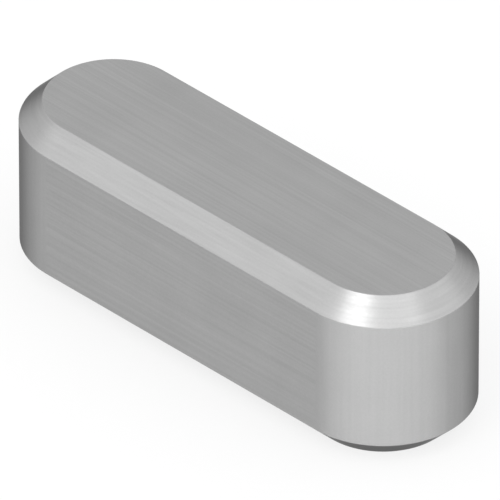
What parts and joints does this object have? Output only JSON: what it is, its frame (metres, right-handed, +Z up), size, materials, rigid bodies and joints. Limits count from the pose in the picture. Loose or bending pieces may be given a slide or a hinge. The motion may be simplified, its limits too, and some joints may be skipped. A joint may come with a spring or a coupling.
{
  "type": "parallel key",
  "caption": "Round-ended parallel key of square section, chamfered all round top and bottom, which locks a hub to a shaft and carries the torque on its long sides.",
  "frame": {"origin": "middle of the bottom face, which rests on the floor of the shaft's keyseat", "axes": "+X along the key, +Y square to its two bearing sides, +Z up, out of the keyseat and towards the hub"},
  "size_m": [0.006, 0.002, 0.002],
  "materials": {
    "key_steel": "cold-drawn key steel: long faces with fine drawing lines, milled round ends, edges broken by tumbling, satin"
  },
  "bodies": {
    "root": {"parallel_key": "key_steel"}
  },
  "joints": []
}
